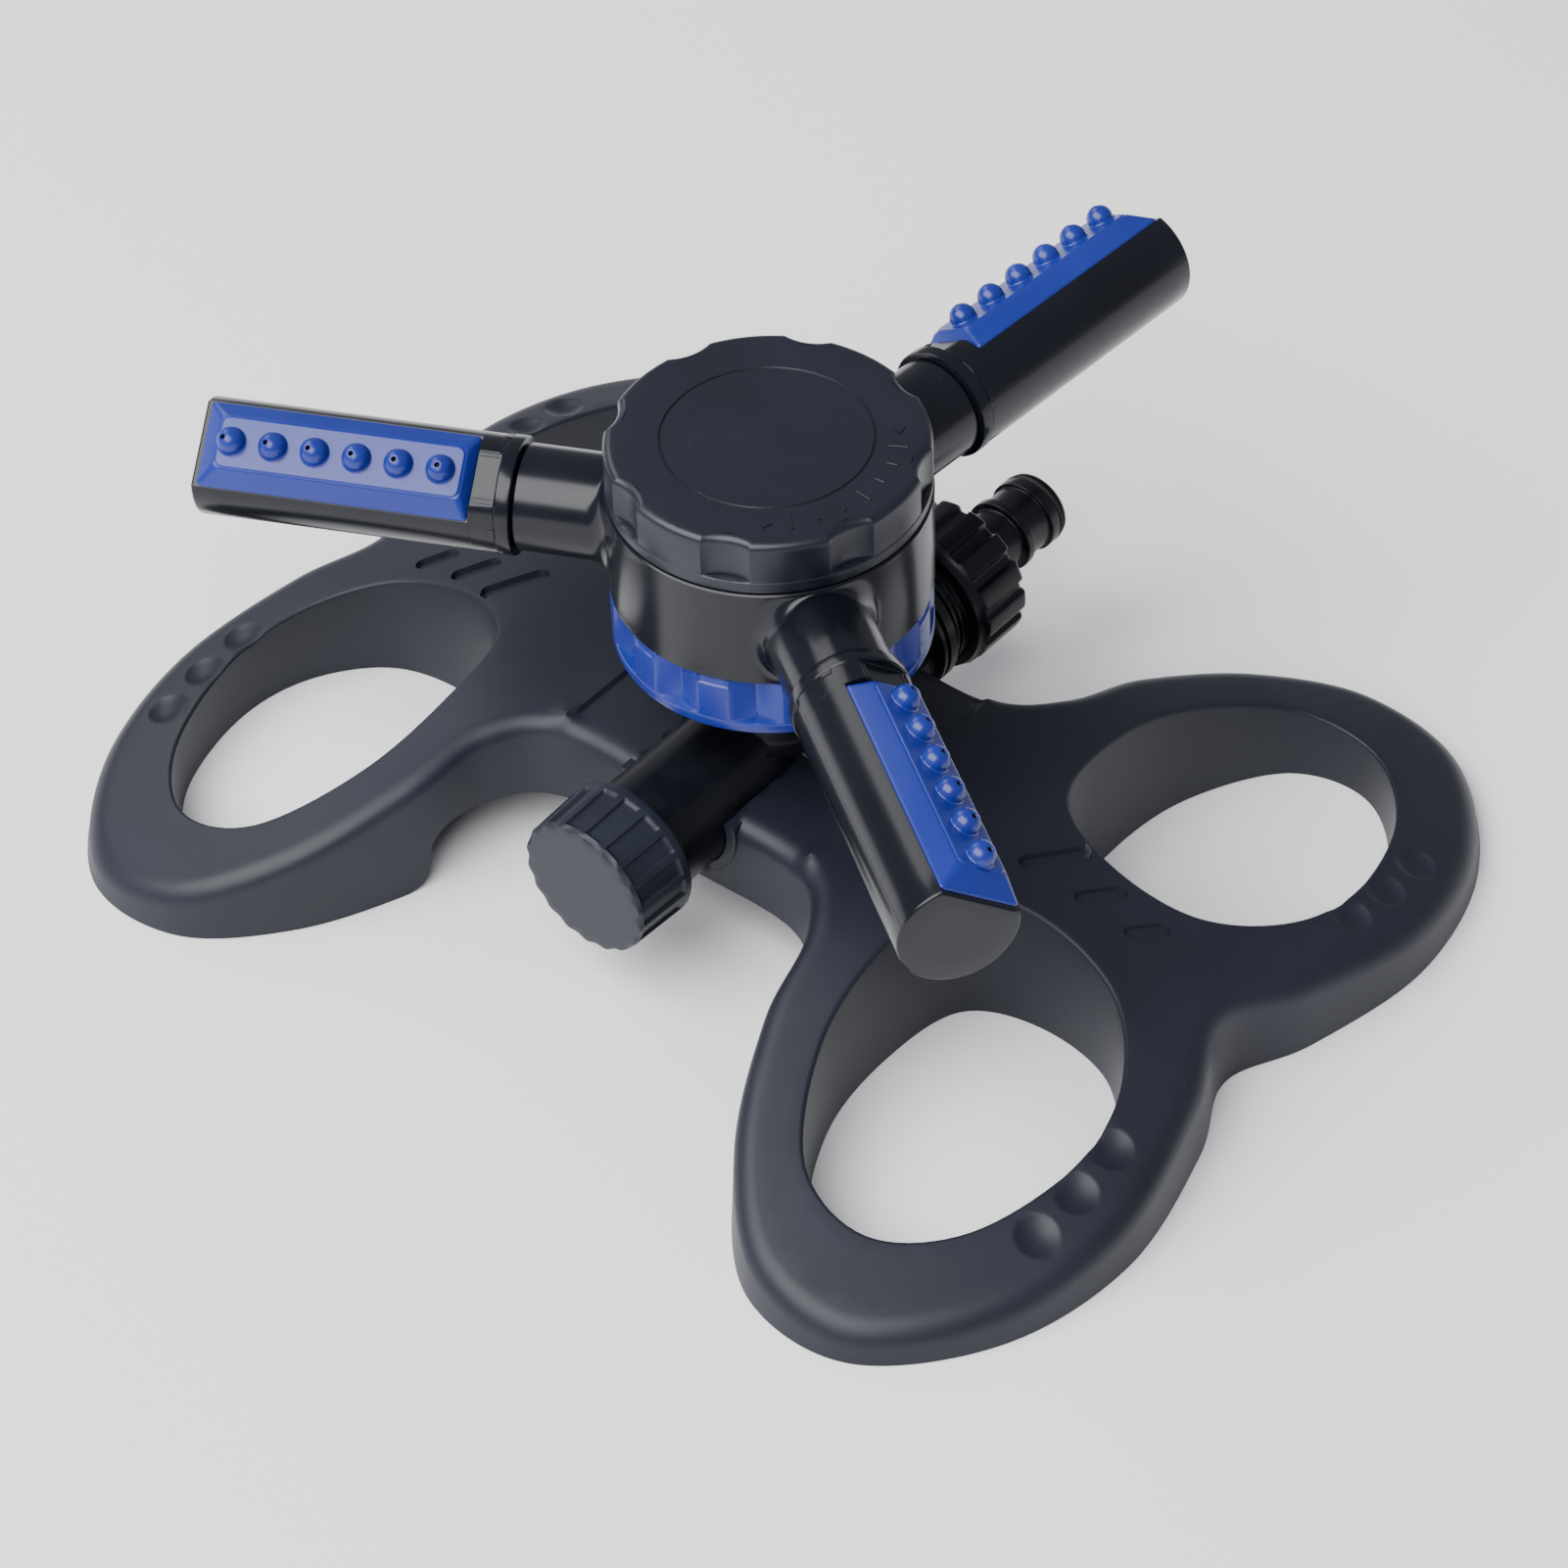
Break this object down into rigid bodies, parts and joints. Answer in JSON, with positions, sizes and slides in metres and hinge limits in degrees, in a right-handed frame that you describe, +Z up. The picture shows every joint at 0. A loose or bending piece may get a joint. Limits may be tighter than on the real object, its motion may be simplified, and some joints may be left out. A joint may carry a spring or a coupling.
{
  "type": "rotary lawn sprinkler",
  "caption": "Rotary lawn sprinkler: radial arms with slanted nozzle plates turn on a round scalloped head over a hose-fed pipe and a wide moulded base with open lobes.",
  "frame": {"origin": "centre of the flat foot of the base's middle post, on the ground below the rotor's axis", "axes": "+Z up along the rotor's axis; +Y along the pipe towards the hose inlet; +X across the base, its longest way"},
  "size_m": [0.285, 0.245, 0.119],
  "materials": {
    "base_plastic": "satin, fine-textured moulded polypropylene",
    "gloss_black": "polished moulded ABS",
    "cap_black": "satin moulded ABS",
    "fitting_grey": "satin moulded, glass-filled",
    "blue_plastic": "glossy moulded ABS",
    "rubber": "matte nitrile",
    "acetal": "natural moulded acetal",
    "steel": "plain stainless"
  },
  "bodies": {
    "base": {"base_shell": "base_plastic", "manifold_pipe": "base_plastic", "ear_screw_1": "steel", "ear_screw_2": "steel", "ear_screw_3": "steel", "ear_screw_4": "steel", "spindle": "acetal", "spindle_o_ring": "rubber", "lower_thrust_washer": "acetal", "upper_thrust_washer": "acetal", "spindle_clip": "steel"},
    "rotor": {"rotor_housing": "gloss_black", "blue_collar": "blue_plastic", "rotor_bush": "acetal", "arm_o_ring_1": "rubber", "arm_o_ring_2": "rubber", "arm_o_ring_3": "rubber", "arm_snap_ring_1": "steel", "arm_snap_ring_2": "steel", "arm_snap_ring_3": "steel"},
    "cap": {"top_cap": "cap_black", "cap_seal": "rubber"},
    "arm_1": {"arm_sleeve_1": "gloss_black", "nozzle_plate_1": "blue_plastic"},
    "arm_2": {"arm_sleeve_2": "gloss_black", "nozzle_plate_2": "blue_plastic"},
    "arm_3": {"arm_sleeve_3": "gloss_black", "nozzle_plate_3": "blue_plastic"},
    "end_cap_carrier": {"end_cap_washer": "rubber"},
    "end_cap_body": {"end_cap": "fitting_grey"},
    "inlet_carrier": {"hose_nipple": "fitting_grey", "nipple_o_ring": "rubber", "inlet_washer": "rubber", "filter_screen": "steel"},
    "inlet_nut_body": {"inlet_nut": "fitting_grey"}
  },
  "joints": [
    {"name": "rotor_spin", "type": "hinge", "parent": "base", "child": "rotor", "pos_m": [0, 0, 0], "axis": [0, 0, 1], "continuous": true},
    {"name": "cap_twist", "type": "hinge", "parent": "rotor", "child": "cap", "pos_m": [0, 0, 0], "axis": [0, 0, 1], "range_deg": [0, 45]},
    {"name": "arm_1_twist", "type": "hinge", "parent": "rotor", "child": "arm_1", "pos_m": [0, 0, 0.0923], "axis": [0.0523, 0.9986, 0], "range_deg": [-40, 33]},
    {"name": "arm_2_twist", "type": "hinge", "parent": "rotor", "child": "arm_2", "pos_m": [0, 0, 0.0923], "axis": [-0.891, -0.454, 0], "range_deg": [-40, 33]},
    {"name": "arm_3_twist", "type": "hinge", "parent": "rotor", "child": "arm_3", "pos_m": [0, 0, 0.0923], "axis": [0.8387, -0.5446, 0], "range_deg": [-40, 33]},
    {"name": "end_cap_turn", "type": "hinge", "parent": "end_cap_carrier", "child": "end_cap_body", "pos_m": [0, -0.0582, 0.033], "axis": [0, -1, 0], "range_deg": [0, 2160]},
    {"name": "end_cap_travel", "type": "slide", "parent": "base", "child": "end_cap_carrier", "axis": [0, -1, 0], "range_m": [0, 0.01088]},
    {"name": "inlet_nut_turn", "type": "hinge", "parent": "inlet_carrier", "child": "inlet_nut_body", "pos_m": [0, 0.0607, 0.033], "axis": [0, 1, 0], "range_deg": [0, 2160]},
    {"name": "inlet_travel", "type": "slide", "parent": "base", "child": "inlet_carrier", "axis": [0, 1, 0], "range_m": [0, 0.01088]}
  ],
  "couplings": [
    {"joint": "end_cap_turn", "follows": "end_cap_travel", "rad_per_m": 3463.7},
    {"joint": "inlet_nut_turn", "follows": "inlet_travel", "rad_per_m": 3463.7}
  ]
}
